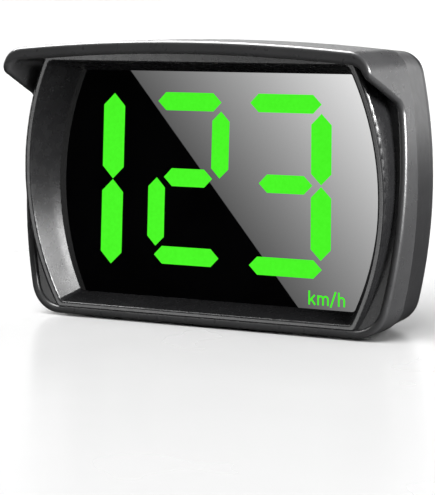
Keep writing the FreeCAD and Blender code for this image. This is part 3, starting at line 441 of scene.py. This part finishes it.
def add_softbox(name, lit, azimuth, elevation, width, height, power):
    """A soft box at an azimuth (0 in front, 90 at +X) and an elevation, aimed at the model."""
    lamp = add_light(name, "AREA", power, lit)
    lamp.data.shape = "RECTANGLE"
    lamp.data.size, lamp.data.size_y = width, height
    a, e = math.radians(azimuth), math.radians(elevation)
    away = Vector((math.sin(a) * math.cos(e), -math.cos(a) * math.cos(e), math.sin(e)))
    lamp.location = (CAD_BOX[0] + CAD_BOX[1]) / 2 + away * SOFTBOX_DISTANCE
    lamp.rotation_euler = away.to_track_quat("Z", "Y").to_euler()
    return lamp


GLARE_TOP = 0.235           # where the glare's edge crosses the lens, from left to right
GLARE_FOOT = 0.77
GLARE_MARGIN = 0.1          # how far the card reaches past the lens, as a share of the lens
CARD_DISTANCE = 0.40        # in front of the model's middle
GLARE_DARK = 0.36           # seen brightness at the edge, and at the lens's far upper corner
GLARE_BRIGHT = 0.97
GLARE_POWER = 25.0          # one over what the lens reflects
DISPLAY_GAMMA = 2.2


def add_glare_card(camera):
    """A graded reflector that only shows as the slanting glare on the lens.

    It stands where the lens mirrors it to the camera: its outline is the wanted outline on
    the lens, seen from the camera's mirror image and cast on to a plane in front.
    """
    low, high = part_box("display_lens")
    mirrored = Vector((camera.location.x, 2 * low.y - camera.location.y, camera.location.z))
    scale = (mirrored.y + CARD_DISTANCE) / (mirrored.y - low.y)

    def cast(across, z):
        spot = Vector((low.x + across * (high.x - low.x), low.y, z))
        return mirrored + (spot - mirrored) * scale

    slope = (GLARE_FOOT - GLARE_TOP) / (high.z - low.z)
    margin = GLARE_MARGIN * (high.z - low.z)
    top, foot, right = high.z + margin, low.z - margin, 1 + GLARE_MARGIN
    corners = [cast(GLARE_FOOT + slope * margin, foot), cast(right, foot), cast(right, top),
               cast(GLARE_TOP - slope * margin, top)]
    finish = Finish("glare_card")
    tree = finish.tree
    output = tree.nodes["Material Output"]
    tree.nodes.remove(finish.shader)
    glow = finish.add("ShaderNodeEmission")
    # brightness climbs evenly away from the slanting edge
    edge_foot, edge_top = cast(GLARE_FOOT, low.z), cast(GLARE_TOP, high.z)
    along = (edge_top - edge_foot).normalized()
    outward = Vector((-along.z, 0, along.x))
    far = cast(1.0, high.z)
    if (far - edge_top).dot(outward) < 0:
        outward = -outward
    dot = finish.add("ShaderNodeVectorMath", operation="DOT_PRODUCT")
    finish.link(finish.place, dot.inputs[0])
    dot.inputs[1].default_value = outward
    grade = finish.add("ShaderNodeMapRange")
    grade.inputs["From Min"].default_value = edge_foot.dot(outward)
    grade.inputs["From Max"].default_value = far.dot(outward)
    grade.inputs["To Min"].default_value = GLARE_DARK
    grade.inputs["To Max"].default_value = GLARE_BRIGHT
    finish.link(dot.outputs["Value"], grade.inputs["Value"])
    light = finish.compute("POWER", grade.outputs["Result"], DISPLAY_GAMMA)
    finish.link(finish.compute("MULTIPLY", light, GLARE_POWER), glow.inputs["Strength"])
    finish.link(glow.outputs["Emission"], output.inputs["Surface"])
    card = add_mesh("glare_card", corners, [(0, 1, 2, 3)], finish.material)
    card.visible_camera = False
    card.visible_diffuse = False
    card.visible_shadow = False
    card.visible_transmission = False
    card.light_linking.receiver_collection = collect(
        "polished_surfaces", [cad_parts[name] for name in ("display_lens", "dark_segments")])


def add_world():
    world = bpy.data.worlds.new("studio")
    bpy.context.scene.world = world
    world.use_nodes = True
    surround = world.node_tree.nodes["Background"]
    surround.inputs["Color"].default_value = (1, 1, 1, 1)
    surround.inputs["Strength"].default_value = SURROUND_STRENGTH
    world.cycles_visibility.glossy = False


def light_studio(board):
    """An even white surround, a light that whitens the board, and soft boxes for the model."""
    add_world()
    sun = add_light("floor_light", "SUN", FLOOR_LIGHT_STRENGTH, collect("board", board))
    sun.data.angle = math.radians(60)
    sun.rotation_euler = (math.radians(35), 0, math.radians(-20))
    model = collect("model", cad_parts.values())
    add_softbox("lip_softbox", model, -92, 60, 0.60, 0.90, 32)
    add_softbox("front_right_softbox", model, 62, 6, 0.60, 0.30, 2.4)
    add_softbox("right_softbox", model, 82, 17, 0.60, 0.36, 42)
    add_softbox("rear_softbox", model, 230, 55, 0.50, 0.40, 12)
    # from below the floor's level, for the bezel alone; the floor doesn't block it
    bezel = collect("bezel", [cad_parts["front_bezel"]])
    low = add_softbox("low_softbox", bezel, -16, -12, 0.80, 0.40, 4.5)
    low.light_linking.blocker_collection = model


dress_nodes()
light_studio(add_floor())
add_glare_card(add_camera())
bpy.context.scene.view_settings.view_transform = "Standard"
